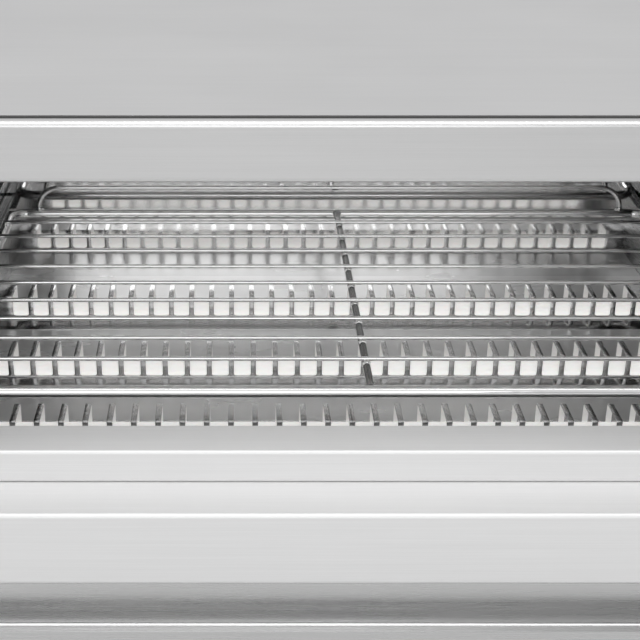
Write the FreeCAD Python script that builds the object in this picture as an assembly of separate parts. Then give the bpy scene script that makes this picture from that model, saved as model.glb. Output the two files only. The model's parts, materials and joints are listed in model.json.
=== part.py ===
"""Countertop quartz infrared pizza oven with a pull-out wire rack.

Millimetres. Z is up, X runs to the right as seen from the front, and the mouth faces -Y.
The origin is on the worktop, under the middle of the whole oven.
"""

import FreeCAD, Part
import math
import os

V = FreeCAD.Vector

# ---- driving dimensions -------------------------------------------------------------------
WIDTH = 700.0              # over the front trims and the top cover
HEIGHT = 327.0
FOOT_HEIGHT = 30.0
SHEET = 1.2                # outer casing
LINER = 1.0                # cavity walls, guides and crumb tray
REFLECTOR = 0.8            # polished reflectors and heater cages
BEND = 1.5                 # inside radius of a fold
HOLE_DEPTH = 8.0           # of a screw hole, through every sheet it meets

CAVITY_WIDTH = 540.0
CAVITY_X = -40.0           # centre of the cavity: the control box takes the right-hand side
CAVITY_REAR_Y = 205.0      # polished rear wall
MOUTH_Y = -192.5           # plane of the hood, the stile and the control panel
APRON_Y = -227.5           # front of the low apron
REAR_Y = 230.0             # back of the top cover

SILL_TOP = 130.5
LEDGE_TOP = 109.7
SILL_DEPTH = 32.5
HOOD_BOTTOM = 293.0
HOOD_LIP = 9.0             # depth of the hood's top lip
HOOD_FOLD = 14.0           # downturn of the lip and return of the lower edge
HOOD_BEND = 2.4
SEAL_WIDTH = 3.0           # rubber strip between the hood's lip and the top cover
SEAL_HEIGHT = 9.0
COVER_SKIRT = 16.0
FLOOR_Z = 75.0
CEILING_Z = 305.0

RACK_Z = 140.0             # axis plane of the rack's frame rods
RACK_WIDTH = 530.0         # a 1/1 size wire shelf, 530 by 325
RACK_DEPTH = 325.4
RACK_ROD = 8.0
RACK_CORNER = 14.0
CROSSWIRE = 3.0
CROSSWIRE_PITCH = 31.05
CROSSWIRES = 9
RUNNER_ROD = 5.0
RUNNER_OFFSET = 6.0        # the runner is a little right of the rack's centre
STOP_ROD = 4.0
STOP_HEIGHT = 22.5
STOP_HALF_WIDTH = 238.0
STOP_CORNER = 20.0
RACK_REAR_GAP = 23.0       # rear wall to the axis of the rack's rear rod
GUIDE_LEVELS = (0.0, 40.0, 80.0)
GUIDE_REACH = 8.6

HEATER_SETBACKS = (280.0, 181.0, 74.0)   # front, middle and rear tube, from the rear wall
TUBE_RADIUS = 6.5
TUBE_WALL = 1.2
TUBE_RISE = 3.5            # tube axis above the reflector's plane
CAGE_DEPTH = 26.0
CAGE_HEIGHT = 18.5
CAGE_FRONT_FOOT = 24.0
CAGE_REAR_FOOT = 8.0
SLOT_PITCH = 16.0
SLOT_WIDTH = 12.0
SLOT_START = 2.0           # height of the solid rail under the slots
TROUGH_DEPTH = 12.0
TROUGH_HALF_TOP = 11.8
TROUGH_HALF_BOTTOM = 8.0

TRAY_BOTTOM = 40.0
TRAY_HEIGHT = 16.0
TRAY_CLEARANCE = 5.0
TRAY_PULL = 17.7           # how far the tray's pull stands out of the apron

KNOB_X = 290.0
TIMER_Z = 226.0
SELECTOR_Z = 158.0
LAMP_Z = 271.0
LAMP_SPREAD = 18.0
KNOB_HEIGHT = 24.0
SHAFT_RADIUS = 3.0
GLAND_X = 290.0
GLAND_Z = 62.0
GLAND_BORE = 5.0

# ---- places worked out from them ----------------------------------------------------------
HALF = WIDTH / 2
PANEL_X = HALF - SHEET                       # outer face of the side panels
LEFT = CAVITY_X - CAVITY_WIDTH / 2           # inner face of the cavity's left wall
RIGHT = CAVITY_X + CAVITY_WIDTH / 2
BASE_Z = FOOT_HEIGHT + SHEET                 # top of the base pan's plate
HEATERS = {
    name: CAVITY_REAR_Y - setback
    for name, setback in zip(("front", "middle", "rear"), HEATER_SETBACKS)
}
MIDDLE_Z = (FLOOR_Z + CEILING_Z) / 2         # the upper heaters mirror the lower ones here
TUBE_Z = FLOOR_Z + TUBE_RISE
RACK_REAR_Y = CAVITY_REAR_Y - RACK_REAR_GAP
RACK_SPAN = RACK_DEPTH - RACK_ROD
RACK_FRONT_Y = RACK_REAR_Y - RACK_SPAN
RACK_HALF = (RACK_WIDTH - RACK_ROD) / 2
WIRE_Z = RACK_Z + (RACK_ROD + CROSSWIRE) / 2
PANEL_BACK = MOUTH_Y + SHEET
TOP_EDGE = HEIGHT - SHEET - BEND - 0.1       # upper edge of the side and rear panels
LIP_BACK = MOUTH_Y + HOOD_LIP
COVER_FRONT = LIP_BACK + SEAL_WIDTH
BASE_RIM = 18.0
PANEL_FLANGE = 12.0        # inward flange along the top of a side panel
REAR_FLANGE = 14.0         # forward flange of the rear panel
TRIM_RETURN = 14.0         # return of the stile and the control panel round the side
LOUVRE_LENGTH = 90.0
LOUVRE_HEIGHT = 5.0
LOUVRE_PITCH = 14.0
LOUVRE_ROWS = 6


# ---- helpers ------------------------------------------------------------------------------
def box(x0, x1, y0, y1, z0, z1):
    """A box between two corners."""
    return Part.makeBox(x1 - x0, y1 - y0, z1 - z0, V(x0, y0, z0))


def rod(start, end, radius):
    """A round rod from one point to another."""
    axis = V(*end) - V(*start)
    return Part.makeCylinder(radius, axis.Length, V(*start), axis)


def tube(start, end, outer, inner):
    """A round pipe from one point to another."""
    return rod(start, end, outer).cut(rod(start, end, inner))


def turned(profile, origin, axis):
    """A lathe shape: profile points are (distance along the axis, radius)."""
    points = [V(radius, 0, along) for along, radius in profile]
    face = Part.Face(Part.makePolygon(points + [points[0]]))
    solid = face.revolve(V(0, 0, 0), V(0, 0, 1), 360)
    solid.Placement = FreeCAD.Placement(V(*origin), FreeCAD.Rotation(V(0, 0, 1), V(*axis)))
    return solid


def hex_nut(origin, axis, across, height, bore):
    """A plain hexagon nut with its near face at origin."""
    radius = across / math.sqrt(3)
    corners = [V(radius * math.cos(math.radians(60 * i)), radius * math.sin(math.radians(60 * i)), 0)
               for i in range(7)]
    nut = Part.Face(Part.makePolygon(corners)).extrude(V(0, 0, height))
    nut = nut.cut(Part.makeCylinder(bore, height))
    nut.Placement = FreeCAD.Placement(V(*origin), FreeCAD.Rotation(V(0, 0, 1), V(*axis)))
    return nut


def rounded_edges(points, radii, place):
    """Lines along the points with an arc of the given radius at each inner corner."""
    edges = []
    start = points[0]
    for i in range(1, len(points) - 1):
        before, corner, after = points[i - 1], points[i], points[i + 1]
        into = ((before[0] - corner[0]), (before[1] - corner[1]))
        out = ((after[0] - corner[0]), (after[1] - corner[1]))
        a, b = math.hypot(*into), math.hypot(*out)
        into = (into[0] / a, into[1] / a)
        out = (out[0] / b, out[1] / b)
        half = math.acos(max(-1.0, min(1.0, into[0] * out[0] + into[1] * out[1]))) / 2
        reach = radii[i] / math.tan(half)
        bisector = (into[0] + out[0], into[1] + out[1])
        size = math.hypot(*bisector)
        depth = radii[i] / math.sin(half) - radii[i]
        first = (corner[0] + into[0] * reach, corner[1] + into[1] * reach)
        middle = (corner[0] + bisector[0] / size * depth, corner[1] + bisector[1] / size * depth)
        last = (corner[0] + out[0] * reach, corner[1] + out[1] * reach)
        edges.append(Part.LineSegment(place(start), place(first)).toShape())
        edges.append(Part.Arc(place(first), place(middle), place(last)).toShape())
        start = last
    edges.append(Part.LineSegment(place(start), place(points[-1])).toShape())
    return edges


def offset_line(points, distance):
    """The points moved to the left of their path, with mitred corners."""
    normals = []
    for a, b in zip(points, points[1:]):
        length = math.hypot(b[0] - a[0], b[1] - a[1])
        normals.append((-(b[1] - a[1]) / length, (b[0] - a[0]) / length))
    moved = []
    for i, point in enumerate(points):
        first = normals[max(i - 1, 0)]
        second = normals[min(i, len(normals) - 1)]
        scale = distance / (1 + first[0] * second[0] + first[1] * second[1])
        moved.append((point[0] + (first[0] + second[0]) * scale,
                      point[1] + (first[1] + second[1]) * scale))
    return moved


def folded(axis, points, start, end, thickness, bend=BEND):
    """Folded sheet along an axis: points trace one skin and the metal lies left of them.

    The points are (y, z) along X, (x, z) along Y and (x, y) along Z.
    """
    place = {
        "x": lambda p: V(start, p[0], p[1]),
        "y": lambda p: V(p[0], start, p[1]),
        "z": lambda p: V(p[0], p[1], start),
    }[axis]
    along = {"x": V(1, 0, 0), "y": V(0, 1, 0), "z": V(0, 0, 1)}[axis] * (end - start)
    inner = [0.0] * len(points)
    outer = [0.0] * len(points)
    for i in range(1, len(points) - 1):
        a, b, c = points[i - 1], points[i], points[i + 1]
        turn = (b[0] - a[0]) * (c[1] - b[1]) - (b[1] - a[1]) * (c[0] - b[0])
        inner[i] = bend if turn > 0 else bend + thickness
        outer[i] = bend + thickness if turn > 0 else bend
    skin = rounded_edges(points, outer, place)
    other = offset_line(points, thickness)
    back = rounded_edges(other, inner, place)
    ends = [
        Part.LineSegment(place(points[0]), place(other[0])).toShape(),
        Part.LineSegment(place(points[-1]), place(other[-1])).toShape(),
    ]
    wire = Part.Wire(Part.__sortEdges__(skin + back + ends))
    return Part.Face(wire).extrude(along)


def pan(x0, x1, y0, y1, z0, z1, thickness, bend=BEND):
    """An open-topped pan of sheet with rounded folds."""
    def block(inset, radius):
        shape = box(x0 + inset, x1 - inset, y0 + inset, y1 - inset, z0 + inset, z1 + 2 * bend)
        low = [e for e in shape.Edges if e.BoundBox.ZMin < z0 + inset + 0.01]
        return shape.makeFillet(radius, low)

    shell = block(0, bend + thickness).cut(block(thickness, bend))
    return shell.common(box(x0, x1, y0, y1, z0, z1))


def bent_wire(points, radius, corner):
    """A round wire along straight runs joined by tangent arcs."""
    path = []
    start = V(*points[0])
    for before, here, after in zip(points, points[1:], points[2:]):
        here = V(*here)
        into = (V(*before) - here).normalize()
        out = (V(*after) - here).normalize()
        half = into.getAngle(out) / 2
        reach = corner / math.tan(half)
        depth = corner / math.sin(half) - corner
        middle = here + (into + out).normalize() * depth
        path.append(Part.LineSegment(start, here + into * reach).toShape())
        path.append(Part.Arc(here + into * reach, middle, here + out * reach).toShape())
        start = here + out * reach
    path.append(Part.LineSegment(start, V(*points[-1])).toShape())
    section = Part.Wire(Part.makeCircle(radius, V(*points[0]), V(*points[1]) - V(*points[0])))
    return Part.Wire(path).makePipeShell([section], True, False)


def screw(head, direction, length, radius=2.0, head_radius=4.0, head_height=2.2):
    """A pan-head screw: head is the point under the head, direction points into the metal."""
    way = V(*direction).normalize()
    dome = 0.35 * head_height
    top = V(*head) - way * head_height
    profile = [(0, 0), (0, head_radius * 0.72), (dome, head_radius), (head_height, head_radius),
               (head_height, radius), (head_height + length, radius), (head_height + length, 0)]
    solid = turned(profile, tuple(top), tuple(way))
    drive = [box(-0.6, 0.6, -head_radius * 0.55, head_radius * 0.55, -1, 1.1),
             box(-head_radius * 0.55, head_radius * 0.55, -0.6, 0.6, -1, 1.1)]
    cross = drive[0].fuse(drive[1])
    cross.Placement = FreeCAD.Placement(top, FreeCAD.Rotation(V(0, 0, 1), way))
    return solid.cut(cross)


def screw_holes(places, direction, length, radius=2.0):
    """Holes that a row of screws pass through."""
    way = V(*direction).normalize()
    return Part.makeCompound([
        Part.makeCylinder(radius, length, V(*place) - way * 0.5, way) for place in places
    ])


def slot(centre, length, height, depth, along="x"):
    """A round-ended slot through a wall: along x through Y, or along y through X."""
    x, y, z = centre
    r = height / 2
    half = length / 2 - r
    if along == "x":
        ends = [Part.makeCylinder(r, depth, V(x + s * half, y - depth / 2, z), V(0, 1, 0))
                for s in (-1, 1)]
        middle = box(x - half, x + half, y - depth / 2, y + depth / 2, z - r, z + r)
    else:
        ends = [Part.makeCylinder(r, depth, V(x - depth / 2, y + s * half, z), V(1, 0, 0))
                for s in (-1, 1)]
        middle = box(x - depth / 2, x + depth / 2, y - half, y + half, z - r, z + r)
    return middle.fuse(ends)


def louvres(lowest, along):
    """Columns of cooling slots above their lowest slots."""
    return Part.makeCompound([
        slot((x, y, z + LOUVRE_PITCH * row), LOUVRE_LENGTH, LOUVRE_HEIGHT, 10, along)
        for x, y, z in lowest for row in range(LOUVRE_ROWS)
    ])


def mirrored(shape):
    """The same part for the upper heaters."""
    return shape.mirror(V(0, 0, MIDDLE_Z), V(0, 0, 1))


# ---- fixing points ------------------------------------------------------------------------
COVER_SIDE_Y = (-150.0, 25.0, 200.0)
COVER_REAR_X = (-300.0, 0.0, 300.0)
COVER_SCREW_Z = 319.0
PANEL_SCREW_Y = (-150.0, 25.0, 195.0)
REAR_SCREW_X = (-310.0, -105.0, 105.0, 330.0)
LOW_SCREW_Z = 40.0
TRIM_SCREW_Y = MOUTH_Y + 7.0
TRIM_SCREW_Z = (140.0, 262.0)
FEET = [(x, y) for x in (-325.0, 325.0) for y in (-178.0, 190.0)]
PAN_X = PANEL_X - SHEET                      # outer faces of the base pan's rims
PAN_REAR = REAR_Y - 2 * SHEET


def cover_side_places(side):
    return [(side * HALF, y, COVER_SCREW_Z) for y in COVER_SIDE_Y]


def cover_rear_places():
    return [(x, REAR_Y, COVER_SCREW_Z) for x in COVER_REAR_X]


def panel_places(side):
    return [(side * PANEL_X, y, LOW_SCREW_Z) for y in PANEL_SCREW_Y]


def rear_places():
    return [(x, REAR_Y - SHEET, LOW_SCREW_Z) for x in REAR_SCREW_X]


def trim_places(side):
    return [(side * HALF, TRIM_SCREW_Y, z) for z in TRIM_SCREW_Z]


# ---- outer casing -------------------------------------------------------------------------
def base_pan():
    """Bottom plate with upturned rims; the front rim is low so that the tray passes over it."""
    front = APRON_Y + SHEET + 1.0
    top = FOOT_HEIGHT + BASE_RIM
    shell = pan(-PAN_X, PAN_X, front, PAN_REAR, FOOT_HEIGHT, top, SHEET)
    shell = shell.cut(box(LEFT - 5, RIGHT + 5, front - 5, front + 12, FOOT_HEIGHT + 6, top + 5))
    for side in (-1, 1):
        shell = shell.cut(screw_holes(panel_places(side), (-side, 0, 0), HOLE_DEPTH))
    shell = shell.cut(screw_holes(rear_places(), (0, -1, 0), HOLE_DEPTH))
    for x, y in FEET:
        shell = shell.cut(rod((x, y, FOOT_HEIGHT - 1), (x, y, BASE_Z + 1), 3.0))
    return shell


def side_panel(side):
    """Flat side sheet with a step in its front edge and an inward flange along the top."""
    low_front = APRON_Y + SHEET + BEND
    front, back = PANEL_BACK + BEND, REAR_Y - SHEET - BEND
    outline = [(low_front, FOOT_HEIGHT), (back, FOOT_HEIGHT), (back, TOP_EDGE),
               (front, TOP_EDGE), (front, LEDGE_TOP - SHEET), (low_front, LEDGE_TOP - SHEET)]
    inner = side * (PANEL_X - SHEET)
    wire = Part.makePolygon([V(inner, y, z) for y, z in outline + outline[:1]])
    sheet = Part.Face(wire).extrude(V(side * SHEET, 0, 0))
    x0, x1 = sorted((inner, side * (PANEL_X - SHEET - PANEL_FLANGE)))
    sheet = sheet.fuse(box(x0, x1, PANEL_BACK + 30, REAR_Y - 20, TOP_EDGE - SHEET, TOP_EDGE))
    sheet = sheet.cut(screw_holes(panel_places(side), (-side, 0, 0), HOLE_DEPTH))
    sheet = sheet.cut(screw_holes(cover_side_places(side), (-side, 0, 0), HOLE_DEPTH))
    sheet = sheet.cut(screw_holes(trim_places(side), (-side, 0, 0), HOLE_DEPTH))
    if side > 0:
        sheet = sheet.cut(louvres([(PANEL_X, y, 150.0) for y in (0.0, 120.0)], "y"))
    return sheet.removeSplitter()


def rear_panel():
    """Back sheet with forward flanges, rows of cooling slots and the hole for the cable gland."""
    x, back = PAN_X, REAR_Y - SHEET
    flange = back - REAR_FLANGE
    sheet = folded("z", [(x, flange), (x, back), (-x, back), (-x, flange)], FOOT_HEIGHT, TOP_EDGE, SHEET)
    sheet = sheet.cut(box(-x - 1, x + 1, flange - 2, PAN_REAR, FOOT_HEIGHT - 1, FOOT_HEIGHT + BASE_RIM + 0.5))
    sheet = sheet.cut(screw_holes(rear_places(), (0, -1, 0), HOLE_DEPTH))
    sheet = sheet.cut(screw_holes(cover_rear_places(), (0, -1, 0), HOLE_DEPTH))
    sheet = sheet.cut(louvres([(x, back, 200.0) for x in (-210.0, -80.0, 50.0, 265.0)], "x"))
    return sheet.cut(rod((GLAND_X, back - 10, GLAND_Z), (GLAND_X, back + 10, GLAND_Z), 8.0))


def top_cover():
    """Lid with down-turned side and rear edges and a plain front edge that meets the hood's seal."""
    lid = pan(-HALF, HALF, COVER_FRONT - COVER_SKIRT, REAR_Y, 0, COVER_SKIRT, SHEET)
    lid = lid.mirror(V(0, 0, 0), V(0, 0, 1))
    lid.translate(V(0, 0, HEIGHT))
    lid = lid.cut(box(-HALF, HALF, LIP_BACK - COVER_SKIRT, COVER_FRONT, 0, HEIGHT))
    for side in (-1, 1):
        lid = lid.cut(screw_holes(cover_side_places(side), (-side, 0, 0), HOLE_DEPTH))
    return lid.cut(screw_holes(cover_rear_places(), (0, -1, 0), HOLE_DEPTH))


def panel_notch(side, z0, z1):
    """Room for a side panel's front edge in a full-width trim."""
    x0, x1 = sorted((side * PANEL_X, side * (PANEL_X - SHEET - 0.1)))
    return box(x0, x1, PANEL_BACK + BEND, MOUTH_Y + 20, z0, z1)


def hood_fascia():
    """Brow over the mouth: upright face, rounded top bend, short top lip and a folded lower edge."""
    profile = [(LIP_BACK, HEIGHT - HOOD_FOLD), (LIP_BACK, HEIGHT), (MOUTH_Y, HEIGHT),
               (MOUTH_Y, HOOD_BOTTOM), (MOUTH_Y + HOOD_FOLD, HOOD_BOTTOM)]
    hood = folded("x", profile, -HALF, HALF, SHEET, bend=HOOD_BEND)
    for side in (-1, 1):
        hood = hood.cut(panel_notch(side, HOOD_BOTTOM - 1, TOP_EDGE))
    return hood


def hood_seal():
    """Rubber strip that fills the joint between the hood's lip and the top cover."""
    reach = PANEL_X - SHEET - 0.2
    strip = box(-reach, reach, LIP_BACK, COVER_FRONT, HEIGHT - SEAL_HEIGHT, HEIGHT - 0.3)
    return strip.makeFillet(0.8, [e for e in strip.Edges if e.BoundBox.ZMin > HEIGHT - 1])


def front_apron():
    """Low step across the whole front, with the letterbox that the crumb tray slides through."""
    profile = [(MOUTH_Y + 16, LEDGE_TOP), (APRON_Y, LEDGE_TOP), (APRON_Y, FOOT_HEIGHT - SHEET),
               (APRON_Y + 15, FOOT_HEIGHT - SHEET)]
    sheet = folded("x", profile, -HALF, HALF, SHEET)
    for side in (-1, 1):
        sheet = sheet.cut(panel_notch(side, LEDGE_TOP - 4, LEDGE_TOP + 1))
    gap = box(LEFT + 2, RIGHT - 2, APRON_Y - 5, APRON_Y + 5, TRAY_BOTTOM - 3, TRAY_BOTTOM + TRAY_HEIGHT + 3)
    return sheet.cut(gap)


def mouth_sill():
    """Raised threshold of the cavity that stands on the apron."""
    rear = MOUTH_Y + SILL_DEPTH
    profile = [(rear, SILL_TOP - 16), (rear, SILL_TOP), (MOUTH_Y, SILL_TOP), (MOUTH_Y, LEDGE_TOP),
               (MOUTH_Y + 12, LEDGE_TOP)]
    return folded("x", profile, LEFT, RIGHT, SHEET, bend=1.0)


def left_stile():
    """Front closing strip of the double wall left of the mouth."""
    profile = [(-HALF, MOUTH_Y + TRIM_RETURN), (-HALF, MOUTH_Y), (LEFT, MOUTH_Y)]
    sheet = folded("z", profile, LEDGE_TOP, HOOD_BOTTOM, SHEET)
    return sheet.cut(screw_holes(trim_places(-1), (1, 0, 0), HOLE_DEPTH))


def control_panel():
    """Front plate of the control box, wrapped round the right-hand side panel."""
    profile = [(RIGHT, MOUTH_Y), (HALF, MOUTH_Y), (HALF, MOUTH_Y + TRIM_RETURN)]
    sheet = folded("z", profile, LEDGE_TOP, HOOD_BOTTOM, SHEET)
    for z in (TIMER_Z, SELECTOR_Z):
        sheet = sheet.cut(rod((KNOB_X, MOUTH_Y - 2, z), (KNOB_X, MOUTH_Y + 4, z), 5.0))
    for x in (KNOB_X - LAMP_SPREAD, KNOB_X + LAMP_SPREAD):
        sheet = sheet.cut(rod((x, MOUTH_Y - 2, LAMP_Z), (x, MOUTH_Y + 4, LAMP_Z), 5.0))
    return sheet.cut(screw_holes(trim_places(1), (-1, 0, 0), 8))


# ---- cavity -------------------------------------------------------------------------------
def cavity_wall(side):
    """Cavity side wall with outward flanges and a hole for each tube end."""
    x = RIGHT if side > 0 else LEFT
    flange = x + side * 8
    top = CEILING_Z + 14
    profile = [(flange, BASE_Z), (x, BASE_Z), (x, top), (flange, top)]
    if side > 0:
        profile.reverse()
    wall = folded("y", profile, PANEL_BACK, CAVITY_REAR_Y + LINER, LINER)
    for y in HEATERS.values():
        for z in (TUBE_Z, 2 * MIDDLE_Z - TUBE_Z):
            wall = wall.cut(rod((x - 5, y, z), (x + 5, y, z), TUBE_RADIUS + 0.8))
    low = box(x - 20, x + 20, MOUTH_Y - 5, MOUTH_Y + 18, BASE_Z - 1, LEDGE_TOP)
    high = box(x - 20, x + 20, MOUTH_Y - 5, MOUTH_Y + 16, HOOD_BOTTOM - 0.5, top + 1)
    return wall.cut(low).cut(high)


def cavity_rear_wall():
    """Mirror-polished back of the cavity."""
    return box(LEFT, RIGHT, CAVITY_REAR_Y, CAVITY_REAR_Y + LINER, BASE_Z, CEILING_Z + 14)


def reflector(front, sign):
    """Reflector with a trough behind each tube; sign +1 is the floor, -1 the ceiling."""
    plane = FLOOR_Z
    points = [(front, plane - 10), (front, plane)]
    for y in HEATERS.values():
        points += [(y - TROUGH_HALF_TOP, plane), (y - TROUGH_HALF_BOTTOM, plane - TROUGH_DEPTH),
                   (y + TROUGH_HALF_BOTTOM, plane - TROUGH_DEPTH), (y + TROUGH_HALF_TOP, plane)]
    points.append((CAVITY_REAR_Y, plane))
    sheet = folded("x", points[::-1], LEFT, RIGHT, REFLECTOR, bend=1.0)
    return sheet if sign > 0 else mirrored(sheet)


def rack_guides(side):
    """Three channels, one above another, that the rack's side rods slide in."""
    wall = RIGHT if side > 0 else LEFT
    lip = wall - side * GUIDE_REACH
    channels = []
    for level in GUIDE_LEVELS:
        low = RACK_Z + level - RACK_ROD / 2 - 0.3
        high = RACK_Z + level + RACK_ROD / 2 + CROSSWIRE + 0.9
        profile = [(lip, low - LINER), (wall, low - LINER), (wall, high + LINER), (lip, high + LINER)]
        if side < 0:
            profile.reverse()
        channels.append(folded("y", profile, MOUTH_Y + SILL_DEPTH, CAVITY_REAR_Y - 4, LINER, bend=0.6))
    return Part.makeCompound(channels)


def ceiling_insulation():
    """Fibre blanket between the ceiling reflector and the top cover."""
    low = CEILING_Z + TROUGH_DEPTH + REFLECTOR + 0.2
    return box(LEFT + 2, RIGHT - 2, MOUTH_Y + 40, CAVITY_REAR_Y - 5, low, HEIGHT - SHEET - 0.6)


# ---- heaters ------------------------------------------------------------------------------
def heater_cage(y):
    """Slotted guard over a tube, with feet on the reflector."""
    front, back = y - CAGE_DEPTH / 2 + REFLECTOR, y + CAGE_DEPTH / 2 - REFLECTOR
    top = FLOOR_Z + CAGE_HEIGHT - REFLECTOR
    profile = [(front - CAGE_FRONT_FOOT, FLOOR_Z), (front, FLOOR_Z), (front, top),
               (back, top), (back, FLOOR_Z), (back + CAGE_REAR_FOOT, FLOOR_Z)]
    sheet = folded("x", profile, LEFT, RIGHT, REFLECTOR, bend=0.8)
    count = int((CAVITY_WIDTH / 2 - SLOT_PITCH / 2) / SLOT_PITCH)
    slots = []
    for i in range(-count, count):
        x = CAVITY_X + (i + 0.5) * SLOT_PITCH
        slots.append(box(x - SLOT_WIDTH / 2, x + SLOT_WIDTH / 2, front - 2, back + 2,
                         FLOOR_Z + SLOT_START, top + 3))
    return sheet.cut(Part.makeCompound(slots))


def quartz_tube(y):
    """Frosted quartz sheath."""
    return tube((LEFT - 12, y, TUBE_Z), (RIGHT + 12, y, TUBE_Z), TUBE_RADIUS, TUBE_RADIUS - TUBE_WALL)


def heating_coil(y):
    """Outline of the resistance coil as a closed sleeve."""
    reach = 6.0
    outer = rod((LEFT - reach, y, TUBE_Z), (RIGHT + reach, y, TUBE_Z), 4.0)
    return outer.cut(rod((LEFT - reach + 1.5, y, TUBE_Z), (RIGHT + reach - 1.5, y, TUBE_Z), 3.2))


def end_cap(side, y):
    """Steatite cap that holds one end of a tube against the outside of the cavity wall."""
    x = (RIGHT if side > 0 else LEFT) + side * LINER
    profile = [(0, TUBE_RADIUS), (0, 11.0), (4, 11.0), (4, 9.2), (17, 9.2), (17, 2.0),
               (11, 2.0), (11, TUBE_RADIUS)]
    return turned(profile, (x, y, TUBE_Z), (side, 0, 0))


def terminal(side, y):
    """Stud from the coil's end out of the cap, with its nut."""
    x = RIGHT if side > 0 else LEFT
    stud = rod((x + side * 6, y, TUBE_Z), (x + side * 25, y, TUBE_Z), 2.0)
    nut = hex_nut((x + side * 20.0, y, TUBE_Z), (side, 0, 0), 7.0, 3.0, 2.0)
    return stud.fuse(nut)


def terminal_link(side):
    """Flat strip that joins the three studs of one bank."""
    x = (RIGHT if side > 0 else LEFT) + side * 18.0
    x0, x1 = sorted((x, x + side * 2.0))
    ys = list(HEATERS.values())
    strip = box(x0, x1, min(ys) - 7, max(ys) + 7, TUBE_Z - 5, TUBE_Z + 5)
    for y in ys:
        strip = strip.cut(rod((x0 - 1, y, TUBE_Z), (x1 + 1, y, TUBE_Z), 2.0))
    return strip


def both_banks(shapes):
    """Lower parts together with their upper mirror images."""
    return Part.makeCompound(list(shapes) + [mirrored(s) for s in shapes])


# ---- wire rack ----------------------------------------------------------------------------
def rack_frame():
    """Closed loop of rod with rounded corners."""
    half, r = RACK_HALF, RACK_CORNER
    pieces = []
    for y in (RACK_FRONT_Y, RACK_REAR_Y):
        pieces.append(rod((CAVITY_X - half + r, y, RACK_Z), (CAVITY_X + half - r, y, RACK_Z), RACK_ROD / 2))
    for side in (-1, 1):
        x = CAVITY_X + side * half
        pieces.append(rod((x, RACK_FRONT_Y + r, RACK_Z), (x, RACK_REAR_Y - r, RACK_Z), RACK_ROD / 2))
        for y, end in ((RACK_FRONT_Y, -1), (RACK_REAR_Y, 1)):
            centre = V(x - side * r, y - end * r, RACK_Z)
            quarter = Part.makeTorus(r, RACK_ROD / 2, centre, V(0, 0, 1))
            x0, x1 = sorted((centre.x, centre.x + side * 2 * r))
            y0, y1 = sorted((centre.y, centre.y + end * 2 * r))
            pieces.append(quarter.common(box(x0, x1, y0, y1, RACK_Z - 10, RACK_Z + 10)))
    return pieces[0].fuse(pieces[1:]).removeSplitter()


def rack_crosswires():
    """Thin wires across the rack, welded on top of its side rods."""
    first = RACK_REAR_Y - (RACK_SPAN - CROSSWIRE_PITCH * (CROSSWIRES - 1)) / 2
    half = RACK_HALF + 1.0
    wires = []
    for i in range(CROSSWIRES):
        y = first - i * CROSSWIRE_PITCH
        wires.append(rod((CAVITY_X - half, y, WIRE_Z), (CAVITY_X + half, y, WIRE_Z), CROSSWIRE / 2))
    return Part.makeCompound(wires)


def rack_runner():
    """Rod under the crosswires from the front rod to the rear rod."""
    x = CAVITY_X + RUNNER_OFFSET
    z = WIRE_Z - (CROSSWIRE + RUNNER_ROD) / 2
    inset = RUNNER_ROD / 2
    runner = rod((x, RACK_FRONT_Y + inset, z), (x, RACK_REAR_Y - inset, z), RUNNER_ROD / 2)
    for y in (RACK_FRONT_Y, RACK_REAR_Y):
        runner = runner.cut(rod((x - 10, y, RACK_Z), (x + 10, y, RACK_Z), RACK_ROD / 2))
    return max(runner.Solids, key=lambda solid: solid.Volume)


def rack_back_stop():
    """Upright loop on the rear rod that keeps food off the rear wall."""
    half = STOP_HALF_WIDTH
    top = RACK_Z + STOP_HEIGHT
    points = [(CAVITY_X - half, RACK_REAR_Y, RACK_Z), (CAVITY_X - half, RACK_REAR_Y, top),
              (CAVITY_X + half, RACK_REAR_Y, top), (CAVITY_X + half, RACK_REAR_Y, RACK_Z)]
    loop = bent_wire(points, STOP_ROD / 2, STOP_CORNER - 2)
    rear = rod((CAVITY_X - 250, RACK_REAR_Y, RACK_Z), (CAVITY_X + 250, RACK_REAR_Y, RACK_Z), RACK_ROD / 2)
    loop = loop.cut(rear)
    return max(loop.Solids, key=lambda solid: solid.Volume)


# ---- crumb tray ---------------------------------------------------------------------------
def crumb_tray():
    """Shallow pan with a front plate and a rolled pull across it."""
    x0, x1 = LEFT + TRAY_CLEARANCE, RIGHT - TRAY_CLEARANCE
    top = TRAY_BOTTOM + TRAY_HEIGHT
    front = APRON_Y - 0.3 - LINER
    shell = pan(x0, x1, APRON_Y - 0.3, CAVITY_REAR_Y - 15, TRAY_BOTTOM, top, LINER)
    back, low = front + LINER, TRAY_BOTTOM - 5
    pull = [(back - TRAY_PULL, low + 8), (back - TRAY_PULL, low), (back, low), (back, top + 8)]
    plate = folded("x", pull, LEFT - 6, RIGHT + 6, LINER)
    return shell.fuse(plate).removeSplitter()


def tray_runners():
    """Angles on the cavity walls that carry the tray."""
    runners = []
    shelf = TRAY_BOTTOM - 0.4
    for side in (-1, 1):
        wall = RIGHT if side > 0 else LEFT
        profile = [(wall - side * 16, shelf), (wall, shelf), (wall, shelf - 8)]
        if side > 0:
            profile.reverse()
        runners.append(folded("y", profile, MOUTH_Y + 25, CAVITY_REAR_Y - 5, LINER, bend=0.6))
    return Part.makeCompound(runners)


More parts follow.
